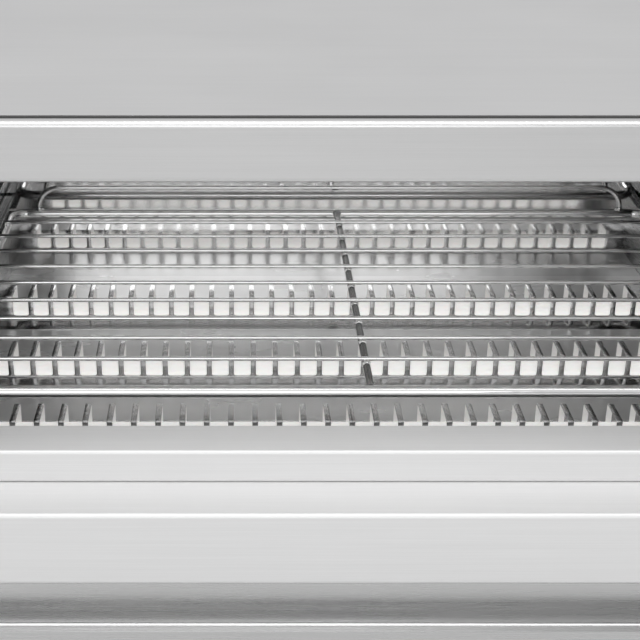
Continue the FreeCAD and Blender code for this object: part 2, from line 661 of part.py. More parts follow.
# ---- controls -----------------------------------------------------------------------------
def knob(z):
    """Skirted round knob with a raised grip bar, bored for its shaft."""
    base = MOUTH_Y - 1.0
    body = turned([(0, SHAFT_RADIUS), (0, 23), (3, 23), (5, 18), (19, 16.5), (20, 15.5), (20, 0),
                   (16, 0), (16, SHAFT_RADIUS)], (KNOB_X, base, z), (0, -1, 0))
    grip = box(KNOB_X - 3.2, KNOB_X + 3.2, base - KNOB_HEIGHT, base - 19, z - 16, z + 16)
    grip = grip.makeFillet(1.5, [e for e in grip.Edges if e.BoundBox.YMax < base - 19 - 1])
    return body.fuse(grip).removeSplitter()


def shaft(z):
    """Control shaft from the switch body into the knob."""
    return rod((KNOB_X, MOUTH_Y - 17, z), (KNOB_X, PANEL_BACK + 14, z), SHAFT_RADIUS)


def switch_body(z, width, height, depth):
    """Housing behind the panel with a bush round its shaft and spade terminals at its back."""
    back = PANEL_BACK + depth
    body = box(KNOB_X - width / 2, KNOB_X + width / 2, PANEL_BACK + 4, back, z - height / 2, z + height / 2)
    body = body.makeFillet(2.0, [e for e in body.Edges if abs(e.BoundBox.YLength) > 5])
    bush = rod((KNOB_X, MOUTH_Y - 0.6, z), (KNOB_X, PANEL_BACK + 4, z), 5.0)
    collar = rod((KNOB_X, PANEL_BACK, z), (KNOB_X, PANEL_BACK + 4, z), 8.0)
    body = body.fuse([bush, collar])
    for dx, dz in ((-9, -8), (9, -8), (-9, 8), (9, 8)):
        body = body.fuse(box(KNOB_X + dx - 3, KNOB_X + dx + 3, back, back + 8, z + dz - 0.4, z + dz + 0.4))
    return body.cut(rod((KNOB_X, MOUTH_Y - 2, z), (KNOB_X, PANEL_BACK + 14, z), SHAFT_RADIUS + 0.05))


def lamp_lens(x):
    """Domed lens of an indicator lamp."""
    return turned([(0, 0), (0, 4.0), (2.5, 3.8), (4.2, 2.6), (4.8, 1.0), (4.8, 0)],
                  (x, MOUTH_Y - 1.2, LAMP_Z), (0, -1, 0))


def lamp_body(x):
    """Bezel, barrel and leads end of an indicator lamp."""
    return turned([(0, 0), (0, 6.5), (1.2, 6.5), (1.2, 5.0), (18, 5.0), (18, 3.0), (24, 3.0), (24, 0)],
                  (x, MOUTH_Y - 1.2, LAMP_Z), (0, 1, 0))


def thermal_cutout():
    """Disc cut-out clamped on the outside of the cavity's right wall."""
    x = RIGHT + LINER
    disc = turned([(0, 0), (0, 8.2), (6, 8.2), (6, 6.5), (12, 6.5), (12, 0)], (x, 24.0, 190.0), (1, 0, 0))
    ears = box(x, x + 1, 24 - 14, 24 + 14, 186, 194)
    blades = [box(x + 12, x + 18, 24 + dy - 0.4, 24 + dy + 0.4, 187, 193) for dy in (-3.5, 3.5)]
    return disc.fuse([ears] + blades)


# ---- supply -------------------------------------------------------------------------------
def terminal_block():
    """Ceramic three-way mains block on the base pan."""
    block = box(262, 318, 128, 152, BASE_Z, BASE_Z + 20)
    for x in (271, 290, 309):
        block = block.cut(box(x - 6, x + 6, 120, 134, BASE_Z + 6, BASE_Z + 21))
        block = block.cut(box(x - 6, x + 6, 146, 160, BASE_Z + 6, BASE_Z + 21))
        block = block.cut(rod((x, 140, BASE_Z + 8), (x, 140, BASE_Z + 21), 2.6))
    return block


def cable_gland():
    """Gland in the rear panel: lock-nut inside, hexagon and domed cap outside, bored through."""
    face = REAR_Y - SHEET
    body = turned([(-13, GLAND_BORE), (-13, 8.0), (0, 8.0), (0, 11.0), (4, 11.0), (4, 10.0), (12, 9.0),
                   (15, 7.5), (16.7, 6.5), (16.7, GLAND_BORE)], (GLAND_X, face, GLAND_Z), (0, 1, 0))
    nut = hex_nut((GLAND_X, face - SHEET - 5, GLAND_Z), (0, 1, 0), 22.0, 5.0, 8.0)
    return body.fuse(nut)


def earth_stud():
    """Threaded earth stud with nut and washer, welded to the base pan."""
    stud = rod((250, 90, BASE_Z), (250, 90, BASE_Z + 16), 2.5)
    washer = tube((250, 90, BASE_Z + 4), (250, 90, BASE_Z + 5.2), 6.0, 2.5)
    return stud.fuse([washer, hex_nut((250, 90, BASE_Z + 5.2), (0, 0, 1), 8.0, 4.0, 2.5)])


def wiring_harness():
    """Heat-proof leads inside the control box and across behind the cavity."""
    high = 2 * MIDDLE_Z - TUBE_Z
    last = max(HEATERS.values())
    r = 1.6
    block = BASE_Z + 10
    lug_left, lug_right = LEFT - 20.1 - r, RIGHT + 20.1 + r
    runs = [
        [(271, 133, block), (271, 110, block), (271, 110, 120), (281, -90, 120), (281, -90, TIMER_Z - 11),
         (281, -138, TIMER_Z - 11)],
        [(299, -138, TIMER_Z - 11), (299, -110, TIMER_Z - 11), (299, -110, SELECTOR_Z + 11),
         (299, -132, SELECTOR_Z + 11)],
        [(281, -132, SELECTOR_Z + 11), (281, -118, SELECTOR_Z + 11), (281, -118, 262), (RIGHT + 27, 60, 262),
         (RIGHT + 27, last + 22, 262), (RIGHT + 27, last + 22, high), (lug_right, last + 4.8, high)],
        [(281, -132, SELECTOR_Z - 11), (281, -112, SELECTOR_Z - 11), (281, -112, 104), (RIGHT + 27, 60, 104),
         (RIGHT + 27, last + 22, 104), (RIGHT + 27, last + 22, TUBE_Z), (lug_right, last + 4.8, TUBE_Z)],
        [(309, 133, block), (309, 104, block), (309, 104, 60), (330, 170, 60), (330, 217, 100),
         (lug_left, 217, 100), (lug_left, 180, TUBE_Z), (lug_left, last + 4.8, TUBE_Z)],
        [(LEFT - 19, last - 14, TUBE_Z + 5), (LEFT - 19, last - 14, high - 5)],
    ]
    bends = (7.0, 7.0, 5.0, 5.0, 5.0, 5.0)
    return Part.makeCompound([bent_wire(run, r, bend) for run, bend in zip(runs, bends)])


# ---- feet and fasteners -------------------------------------------------------------------
def foot(x, y):
    """Tapered rubber foot with a recess for its screw."""
    return turned([(0, 7.0), (0, 17.0), (2, 18.5), (FOOT_HEIGHT - SHEET, 21.0), (FOOT_HEIGHT, 21.0),
                   (FOOT_HEIGHT, 3.0), (10, 3.0), (10, 7.0)], (x, y, 0), (0, 0, 1))


def foot_screw(x, y):
    """Screw up through a foot, with its nut on the base pan."""
    shank = screw((x, y, 10.0), (0, 0, 1), 28.0, 3.0, 6.0, 4.0)
    return shank.fuse(hex_nut((x, y, BASE_Z), (0, 0, 1), 10.0, 4.0, 3.0))


def screws(places, direction, length=6.0):
    return [screw(place, direction, length) for place in places]


def fasteners():
    """Screw groups by what they hold."""
    cover = screws(cover_rear_places(), (0, -1, 0))
    base = screws(rear_places(), (0, -1, 0))
    trims = []
    for side in (-1, 1):
        cover += screws(cover_side_places(side), (-side, 0, 0))
        base += screws(panel_places(side), (-side, 0, 0))
        trims += screws(trim_places(side), (-side, 0, 0))
    return {
        "cover_screws": Part.makeCompound(cover),
        "base_screws": Part.makeCompound(base),
        "trim_screws": Part.makeCompound(trims),
        "foot_screws": Part.makeCompound([foot_screw(x, y) for x, y in FEET]),
    }


def nodes():
    """Every sub-part by its node name."""
    parts = {
        "base_pan": base_pan(),
        "left_side_panel": side_panel(-1),
        "right_side_panel": side_panel(1),
        "rear_panel": rear_panel(),
        "top_cover": top_cover(),
        "hood_fascia": hood_fascia(),
        "hood_seal": hood_seal(),
        "front_apron": front_apron(),
        "mouth_sill": mouth_sill(),
        "left_stile": left_stile(),
        "control_panel": control_panel(),
        "cavity_left_wall": cavity_wall(-1),
        "cavity_right_wall": cavity_wall(1),
        "cavity_rear_wall": cavity_rear_wall(),
        "reflector_floor": reflector(MOUTH_Y + SILL_DEPTH + 20, 1),
        "reflector_ceiling": reflector(MOUTH_Y + 17, -1),
        "left_rack_guides": rack_guides(-1),
        "right_rack_guides": rack_guides(1),
        "ceiling_insulation": ceiling_insulation(),
    }
    for name, y in HEATERS.items():
        cage, sheath = heater_cage(y), quartz_tube(y)
        parts["lower_cage_" + name] = cage
        parts["upper_cage_" + name] = mirrored(cage)
        parts["lower_tube_" + name] = sheath
        parts["upper_tube_" + name] = mirrored(sheath)
    ends = [(side, y) for side in (-1, 1) for y in HEATERS.values()]
    parts["heating_coils"] = both_banks([heating_coil(y) for y in HEATERS.values()])
    parts["ceramic_end_caps"] = both_banks([end_cap(side, y) for side, y in ends])
    parts["heater_terminals"] = both_banks([terminal(side, y) for side, y in ends])
    parts["terminal_links"] = both_banks([terminal_link(side) for side in (-1, 1)])
    parts.update({
        "rack_frame": rack_frame(),
        "rack_crosswires": rack_crosswires(),
        "rack_runner": rack_runner(),
        "rack_back_stop": rack_back_stop(),
        "crumb_tray": crumb_tray(),
        "tray_runners": tray_runners(),
        "timer_body": switch_body(TIMER_Z, 44, 44, 44),
        "timer_shaft": shaft(TIMER_Z),
        "timer_knob": knob(TIMER_Z),
        "selector_body": switch_body(SELECTOR_Z, 40, 40, 50),
        "selector_shaft": shaft(SELECTOR_Z),
        "selector_knob": knob(SELECTOR_Z),
        "power_lamp": lamp_lens(KNOB_X - LAMP_SPREAD),
        "heating_lamp": lamp_lens(KNOB_X + LAMP_SPREAD),
        "lamp_bodies": Part.makeCompound([lamp_body(KNOB_X - LAMP_SPREAD), lamp_body(KNOB_X + LAMP_SPREAD)]),
        "thermal_cutout": thermal_cutout(),
        "terminal_block": terminal_block(),
        "cable_gland": cable_gland(),
        "earth_stud": earth_stud(),
        "wiring_harness": wiring_harness(),
        "rubber_feet": Part.makeCompound([foot(x, y) for x, y in FEET]),
    })
    parts.update(fasteners())
    return parts


os.makedirs("parts", exist_ok=True)
for name, shape in nodes().items():
    shape.exportStep("parts/" + name + ".step")
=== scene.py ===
"""Looks of the countertop quartz pizza oven: materials, detailed pieces, light and camera."""

import json
import math

import bmesh
import bpy
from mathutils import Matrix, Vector


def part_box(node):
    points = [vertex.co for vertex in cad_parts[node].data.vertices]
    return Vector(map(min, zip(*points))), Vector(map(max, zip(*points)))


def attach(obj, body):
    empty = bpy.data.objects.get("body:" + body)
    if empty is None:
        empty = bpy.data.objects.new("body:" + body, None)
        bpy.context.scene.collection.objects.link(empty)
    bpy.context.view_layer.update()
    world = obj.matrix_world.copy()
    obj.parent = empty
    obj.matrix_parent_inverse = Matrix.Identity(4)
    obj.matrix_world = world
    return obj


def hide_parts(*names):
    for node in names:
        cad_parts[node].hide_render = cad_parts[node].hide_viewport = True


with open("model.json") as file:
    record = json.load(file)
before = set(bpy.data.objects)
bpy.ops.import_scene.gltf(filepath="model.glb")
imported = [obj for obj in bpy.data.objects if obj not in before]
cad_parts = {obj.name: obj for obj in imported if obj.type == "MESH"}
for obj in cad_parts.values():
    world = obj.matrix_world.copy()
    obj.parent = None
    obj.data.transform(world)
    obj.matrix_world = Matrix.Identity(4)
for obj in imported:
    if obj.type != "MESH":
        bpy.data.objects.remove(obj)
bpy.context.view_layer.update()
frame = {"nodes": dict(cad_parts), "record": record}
NODES = frame["nodes"]


# ---- node helpers -------------------------------------------------------------------------
class Shader:
    """A material being built: node() adds a node and link() joins two sockets."""

    def __init__(self, name):
        self.material = bpy.data.materials.new(name)
        self.material.use_nodes = True
        self.tree = self.material.node_tree
        self.tree.nodes.clear()
        self.surface = self.node("ShaderNodeBsdfPrincipled")
        output = self.node("ShaderNodeOutputMaterial")
        self.link(self.surface, "BSDF", output, "Surface")
        self.coords = self.node("ShaderNodeTexCoord")

    def node(self, kind, **values):
        made = self.tree.nodes.new(kind)
        for key, value in values.items():
            setattr(made, key, value)
        return made

    def link(self, source, output, target, entry):
        self.tree.links.new(source.outputs[output], target.inputs[entry])

    def set(self, **values):
        for key, value in values.items():
            self.surface.inputs[key.replace("_", " ")].default_value = value

    def mapped(self, scale):
        """Object coordinates, stretched by scale."""
        mapping = self.node("ShaderNodeMapping")
        mapping.inputs["Scale"].default_value = scale
        self.link(self.coords, "Object", mapping, "Vector")
        return mapping

    def noise(self, scale, detail=3.0, rough=0.5, distortion=0.0):
        """Noise over object coordinates scaled by a triple."""
        made = self.node("ShaderNodeTexNoise")
        made.inputs["Scale"].default_value = 1.0
        made.inputs["Detail"].default_value = detail
        made.inputs["Roughness"].default_value = rough
        made.inputs["Distortion"].default_value = distortion
        self.link(self.mapped(scale), "Vector", made, "Vector")
        return made

    def spread(self, source, low, high, low_in=0.3, high_in=0.7):
        """A number from a texture, spread from low to high."""
        made = self.node("ShaderNodeMapRange")
        made.inputs["From Min"].default_value = low_in
        made.inputs["From Max"].default_value = high_in
        made.inputs["To Min"].default_value = low
        made.inputs["To Max"].default_value = high
        self.link(source, 0, made, "Value")
        return made

    def colour(self, source, dark, light):
        """A base colour between dark and light."""
        mix = self.node("ShaderNodeMix", data_type="RGBA")
        self.link(source, 0, mix, 0)
        mix.inputs[6].default_value = (*dark, 1)
        mix.inputs[7].default_value = (*light, 1)
        self.link(mix, 2, self.surface, "Base Color")

    def bump(self, source, strength, distance):
        """Fine relief; distance is in metres."""
        made = self.node("ShaderNodeBump")
        made.inputs["Strength"].default_value = strength
        made.inputs["Distance"].default_value = distance
        self.link(source, 0, made, "Height")
        self.link(made, "Normal", self.surface, "Normal")


def grain_scale(axis, fine, along):
    """Texture scale of a grain that runs along one axis."""
    return tuple(along if name == axis else fine for name in "xyz")


def brushed_steel(name, tone=0.72, rough=0.30, axis="x", strength=0.12, metal=1.0):
    """Stainless sheet with a directional grain, faint cloudiness and handling marks."""
    s = Shader(name)
    hair = s.noise(grain_scale(axis, 2600, 14), 2.0, 0.6)
    lines = s.noise(grain_scale(axis, 420, 5), 3.0, 0.65)
    cloud = s.noise((9, 9, 9), 2.0, 0.5, 0.4)
    mixed = s.node("ShaderNodeMath", operation="ADD")
    s.link(s.spread(hair, 0.0, 0.6), 0, mixed, 0)
    s.link(s.spread(lines, 0.0, 0.4), 0, mixed, 1)
    s.colour(mixed, (tone * 0.93,) * 3, (tone,) * 3)
    total = s.node("ShaderNodeMath", operation="ADD")
    s.link(s.spread(mixed, rough - 0.05, rough + 0.04, 0.0, 1.0), 0, total, 0)
    s.link(s.spread(cloud, -0.03, 0.03), 0, total, 1)
    s.link(total, 0, s.surface, "Roughness")
    s.set(Metallic=metal)
    s.bump(mixed, strength, 0.00004)
    return s.material


def polished_steel(name, tone=0.78, rough=0.07, wave=0.10, metal=1.0):
    """Mirror-finished sheet, slightly wavy, with a faint haze of wiping marks."""
    s = Shader(name)
    haze = s.noise((14, 30, 30), 2.0, 0.5)
    dents = s.noise((7, 9, 9), 0.0)
    s.colour(s.spread(haze, 0.0, 1.0), (tone * 0.94,) * 3, (tone,) * 3)
    s.link(s.spread(haze, rough - 0.03, rough + 0.05), 0, s.surface, "Roughness")
    s.set(Metallic=metal)
    s.bump(dents, wave, 0.0015)
    return s.material


def chrome(name, tone=0.82, rough=0.07):
    """Bright chromium plate on drawn wire."""
    s = Shader(name)
    film = s.noise((60, 60, 60), 3.0, 0.6)
    s.colour(s.spread(film, 0.0, 1.0), (tone * 0.92,) * 3, (tone,) * 3)
    s.link(s.spread(film, rough - 0.03, rough + 0.05), 0, s.surface, "Roughness")
    s.set(Metallic=1.0)
    s.bump(s.noise((700, 700, 700), 2.0), 0.05, 0.00002)
    return s.material


def frosted_quartz(name, painted_glow):
    """Milky fused-silica sheath with fine drawing ripples, and a painted white glow that stands in for
    light inside the cavity.
    """
    s = Shader(name)
    milk = s.noise((40, 200, 200), 3.0, 0.5)
    ripple = s.noise((900, 60, 60), 2.0, 0.5)
    s.colour(s.spread(milk, 0.0, 1.0), (0.90, 0.90, 0.88), (0.97, 0.97, 0.96))
    s.link(s.spread(milk, 0.28, 0.42), 0, s.surface, "Roughness")
    # Painted glow: the emission brightens the cavity and its reflections in place of light that would
    # reach it.
    s.set(Subsurface_Weight=0.2, Subsurface_Scale=0.004, IOR=1.46, Emission_Strength=painted_glow)
    s.set(Emission_Color=(1.0, 0.99, 0.97, 1))
    s.bump(ripple, 0.15, 0.0001)
    return s.material


def moulded_plastic(name, tone, rough=0.42, grain=0.12):
    """Moulded plastic with a fine spark-eroded texture."""
    s = Shader(name)
    cells = s.noise((1500, 1500, 1500), 2.0, 0.6)
    patch = s.noise((30, 30, 30), 2.0)
    s.colour(s.spread(patch, 0.0, 1.0), tuple(c * 0.8 for c in tone), tone)
    s.link(s.spread(patch, rough - 0.05, rough + 0.07), 0, s.surface, "Roughness")
    s.bump(cells, grain, 0.00008)
    return s.material


def rubber(name):
    """Black rubber, matt with a little dust."""
    s = Shader(name)
    dust = s.noise((120, 120, 120), 5.0, 0.7)
    s.colour(s.spread(dust, 0.0, 1.0), (0.018, 0.018, 0.019), (0.045, 0.044, 0.043))
    s.link(s.spread(dust, 0.62, 0.85), 0, s.surface, "Roughness")
    s.bump(s.noise((900, 900, 900), 2.0), 0.25, 0.0001)
    return s.material


def steatite(name):
    """Cream technical ceramic, matt with fine pores."""
    s = Shader(name)
    pores = s.noise((1100, 1100, 1100), 3.0, 0.6)
    patch = s.noise((45, 45, 45), 3.0)
    s.colour(s.spread(patch, 0.0, 1.0), (0.72, 0.68, 0.58), (0.84, 0.81, 0.73))
    s.link(s.spread(pores, 0.5, 0.75), 0, s.surface, "Roughness")
    s.bump(pores, 0.2, 0.0001)
    return s.material


def fibre_blanket(name):
    """Loose ceramic fibre."""
    s = Shader(name)
    strands = s.noise((500, 90, 700), 6.0, 0.75, 1.2)
    s.colour(s.spread(strands, 0.0, 1.0), (0.66, 0.64, 0.58), (0.88, 0.87, 0.82))
    s.set(Roughness=0.95)
    s.bump(strands, 0.8, 0.001)
    return s.material


def glass_braid(name):
    """Woven glass sleeving on a lead."""
    s = Shader(name)
    weave = s.node("ShaderNodeTexVoronoi")
    weave.inputs["Scale"].default_value = 1.0
    s.link(s.mapped((1400, 1400, 1400)), "Vector", weave, "Vector")
    s.colour(s.spread(weave, 0.0, 1.0, 0.0, 0.8), (0.52, 0.47, 0.36), (0.80, 0.76, 0.66))
    s.set(Roughness=0.8)
    s.bump(weave, 0.5, 0.0002)
    return s.material


def heat_tinted(name):
    """Resistance wire, dark with its oxide."""
    s = Shader(name)
    scale = s.noise((300, 300, 300), 3.0)
    s.colour(s.spread(scale, 0.0, 1.0), (0.16, 0.13, 0.11), (0.34, 0.30, 0.27))
    s.link(s.spread(scale, 0.4, 0.6), 0, s.surface, "Roughness")
    s.set(Metallic=0.8)
    return s.material


def plated(name, tone, rough=0.28):
    """Zinc- or nickel-plated small hardware."""
    s = Shader(name)
    film = s.noise((260, 260, 260), 4.0, 0.6)
    s.colour(s.spread(film, 0.0, 1.0), tuple(c * 0.82 for c in tone), tone)
    s.link(s.spread(film, rough - 0.06, rough + 0.12), 0, s.surface, "Roughness")
    s.set(Metallic=1.0)
    s.bump(film, 0.08, 0.0001)
    return s.material


def lamp_plastic(name, tone):
    """Clear coloured lens with a ribbed inside."""
    s = Shader(name)
    ribs = s.noise((900, 200, 900), 1.0)
    s.colour(s.spread(ribs, 0.0, 1.0), tuple(c * 0.6 for c in tone), tone)
    s.set(Roughness=0.12, Transmission_Weight=0.35, IOR=1.49, Coat_Weight=0.4)
    s.bump(ribs, 0.15, 0.0003)
    return s.material


# ---- materials of the record's slots ------------------------------------------------------
def paint_nodes():
    """Gives every carried-over CAD node its finish by its slot."""
    materials = {
        "casing": brushed_steel("casing_steel", 0.78, 0.36, "x"),
        "front_trim": brushed_steel("trim_steel", 0.68, 0.38, "x", 0.15),
        "liner": brushed_steel("liner_steel", 0.26, 0.28, "y"),
        "tray": brushed_steel("tray_steel", 0.62, 0.28, "x"),
        "reflector": polished_steel("reflector_steel", 0.98, 0.24, 0.05, 0.4),
        "guard": polished_steel("guard_steel", 0.72, 0.14, 0.03),
        # The heater tubes carry a faint painted glow that lights the cavity.
        "quartz": frosted_quartz("quartz", 0.5),
        "coil": heat_tinted("coil_wire"),
        "ceramic": steatite("steatite"),
        "terminals": plated("nickel_plate", (0.62, 0.60, 0.56)),
        "earth_brass": plated("brass_plate", (0.78, 0.62, 0.30)),
        "chrome_rod": chrome("chrome_plate", 0.84, 0.09),
        "switch_plastic": moulded_plastic("switch_plastic", (0.05, 0.05, 0.05)),
        "shaft_steel": plated("turned_steel", (0.66, 0.66, 0.66), 0.2),
        "knob_black": moulded_plastic("knob_plastic", (0.022, 0.022, 0.023), 0.36),
        "lamp_green": lamp_plastic("green_lens", (0.05, 0.55, 0.12)),
        "lamp_amber": lamp_plastic("amber_lens", (0.95, 0.42, 0.03)),
        "fibre": fibre_blanket("ceramic_fibre"),
        "wire_sleeve": glass_braid("glass_sleeve"),
        "screw_steel": plated("screw_steel", (0.66, 0.66, 0.65)),
        "foot_rubber": rubber("foot_rubber"),
    }
    for part in frame["record"]["subparts"]:
        node = NODES[part["node"]]
        for slot in node.material_slots:
            slot.material = materials[part["material_slot"]]
    mirror = polished_steel("mirror_steel", 0.84, 0.06, 0.06)
    NODES["cavity_rear_wall"].material_slots[0].material = mirror
    # The upper tubes get a stronger painted glow, which brightens the floor, sill and rack below them.
    upper = frosted_quartz("upper_quartz_painted_glow", 0.7)
    for heater in ("front", "middle", "rear"):
        NODES["upper_tube_" + heater].material_slots[0].material = upper
    satin = brushed_steel("satin_steel", 0.80, 0.42, "x", 0.15, 0.3)
    for name in ("mouth_sill", "front_apron"):
        NODES[name].material_slots[0].material = satin
    side = brushed_steel("side_steel", 0.78, 0.36, "y")
    for name in ("left_side_panel", "right_side_panel"):
        NODES[name].material_slots[0].material = side
    return materials


MATERIALS = paint_nodes()


# ---- mesh helpers -------------------------------------------------------------------------
MM = 0.001


def piece(name, verts, faces, body, slot, *hides, sharp=35):
    """A finished piece from lists, in millimetres, riding on a body."""
    mesh = bpy.data.meshes.new(name)
    mesh.from_pydata([Vector(v) * MM for v in verts], [], faces)
    mesh.materials.append(MATERIALS[slot])
    shape = bmesh.new()
    shape.from_mesh(mesh)
    bmesh.ops.recalc_face_normals(shape, faces=shape.faces)
    shape.to_mesh(mesh)
    shape.free()
    made = bpy.data.objects.new(name, mesh)
    bpy.context.scene.collection.objects.link(made)
    smooth(mesh, sharp)
    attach(made, body)
    if hides:
        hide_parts(*hides)
    return made


def smooth(mesh, angle):
    """Smooth shading with edges sharper than the angle kept crisp."""
    mesh.shade_smooth()
    mesh.set_sharp_from_angle(angle=math.radians(angle))


def baked(made, angle=35):
    """Turns the piece's modifiers into its own mesh."""
    graph = bpy.context.evaluated_depsgraph_get()
    mesh = bpy.data.meshes.new_from_object(made.evaluated_get(graph))
    made.modifiers.clear()
    made.data = mesh
    smooth(mesh, angle)
    return made


def joined(parts):
    """Lists of (verts, faces) as one pair."""
    verts, faces = [], []
    for more, rings in parts:
        base = len(verts)
        verts += more
        faces += [tuple(i + base for i in ring) for ring in rings]
    return verts, faces


def swept(path, radius, sides=20, closed=False):
    """A round bar along a path; radius is a number or a function of the distance and the total."""
    points = [Vector(p) for p in path]
    count = len(points)
    lengths = [0.0]
    for a, b in zip(points, points[1:]):
        lengths.append(lengths[-1] + (b - a).length)
    size = radius if callable(radius) else lambda along, total: radius
    verts, faces = [], []
    up = None
    for i, point in enumerate(points):
        before = points[i - 1] if i or closed else point
        after = points[(i + 1) % count] if i < count - 1 or closed else point
        way = (after - before).normalized()
        if up is None:
            up = way.orthogonal().normalized()
        up = (up - way * up.dot(way)).normalized()
        side = way.cross(up)
        r = size(lengths[i], lengths[-1])
        for k in range(sides):
            turn = 2 * math.pi * k / sides
            verts.append(point + (up * math.cos(turn) + side * math.sin(turn)) * r)
    for i in range(count if closed else count - 1):
        a, b = i * sides, ((i + 1) % count) * sides
        for k in range(sides):
            n = (k + 1) % sides
            faces.append((a + k, a + n, b + n, b + k))
    if not closed:
        faces.append(tuple(range(sides)))
        faces.append(tuple((count - 1) * sides + k for k in range(sides)))
    return verts, faces


def closing_twist(verts, faces, sides):
    """Shifts the last joint of a closed bar so that its rings meet without a twist."""
    last, first = verts[-sides], verts[:sides]
    shift = min(range(sides), key=lambda k: (first[k] - last).length)
    fixed = faces[:-sides]
    base = len(verts) - sides
    for k in range(sides):
        n = (k + 1) % sides
        fixed.append((base + k, base + n, (n + shift) % sides, (k + shift) % sides))
    return verts, fixed


def rounded_path(points, radius, steps=10, closed=False):
    """The points with each corner turned into an arc."""
    corners = [Vector(p) for p in points]
    count = len(corners)
    path = []
    for i, here in enumerate(corners):
        if not closed and i in (0, count - 1):
            path.append(here)
            continue
        into = (corners[i - 1] - here).normalized()
        out = (corners[(i + 1) % count] - here).normalized()
        half = into.angle(out) / 2
        reach = radius / math.tan(half)
        centre = here + (into + out).normalized() * (radius / math.sin(half))
        a, b = here + into * reach - centre, here + out * reach - centre
        for k in range(steps + 1):
            t = k / steps
            spread = a.angle(b)
            share = (math.sin((1 - t) * spread), math.sin(t * spread))
            path.append(centre + (a * share[0] + b * share[1]) / math.sin(spread))
    return path


def subdivided(a, b, pieces):
    """Evenly spaced points from a to b."""
    a, b = Vector(a), Vector(b)
    return [a.lerp(b, i / pieces) for i in range(pieces + 1)]


def bead(centre, size, seed, star=0.0, rings=8, sides=24):
    """A lumpy weld nugget, drawn out to four fillets by star."""
    verts, faces = [], []
    for i in range(rings + 1):
        lift = math.pi * i / rings
        for k in range(sides):
            turn = 2 * math.pi * k / sides
            lump = 1 + 0.07 * math.sin(3 * turn + seed) * math.sin(2 * lift + seed * 1.7)
            lump -= star * math.cos(4 * turn)
            verts.append(Vector((centre[0] + size[0] * lump * math.sin(lift) * math.cos(turn),
                                 centre[1] + size[1] * lump * math.sin(lift) * math.sin(turn),
                                 centre[2] + size[2] * math.cos(lift))))
    for i in range(rings):
        for k in range(sides):
            n = (k + 1) % sides
            faces.append((i * sides + k, i * sides + n, (i + 1) * sides + n, (i + 1) * sides + k))
    return verts, faces


def lathe(profile, origin, sides=72, ripple=None):
    """A turned shape about an axis along -Y; profile is (distance along the axis, radius)."""
    verts, faces = [], []
    for along, radius in profile:
        for k in range(sides):
            turn = 2 * math.pi * k / sides
            r = radius if ripple is None else radius * ripple(turn, along)
            verts.append(Vector((origin[0] + r * math.cos(turn), origin[1] - along,
                                 origin[2] + r * math.sin(turn))))
    for i in range(len(profile) - 1):
        for k in range(sides):
            n = (k + 1) % sides
            faces.append((i * sides + k, i * sides + n, (i + 1) * sides + n, (i + 1) * sides + k))
    return verts, faces


def spans(node):
    """Low and high corner of a CAD node in millimetres."""
    low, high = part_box(node)
    return Vector(low) / MM, Vector(high) / MM


# ---- wire rack ----------------------------------------------------------------------------
# Painted shade: a dark copy of the chrome for the runner, standing in for the dark cavity it reflects.
SHADED_RUNNER_CHROME = chrome("runner_chrome_painted_shade", 0.30, 0.12)
# Painted highlight: a brighter copy of the chrome for the welds, so they show as bright stars where the
# wires cross the runner.
LIT_WELD_CHROME = chrome("weld_chrome_painted_highlight", 0.95, 0.22)
ROD = 4.0                  # radii of the four sizes of bar
WIRE = 1.5
RUNNER = 2.5
STOP = 2.0
WIRES = 9
FRAME_CORNER = 14.0
FRAME_SIDES = 28
STOP_CORNER = 17.0
WIRE_DOME = 0.8            # length of a crosswire's rounded end
WIRE_STEP = 0.25


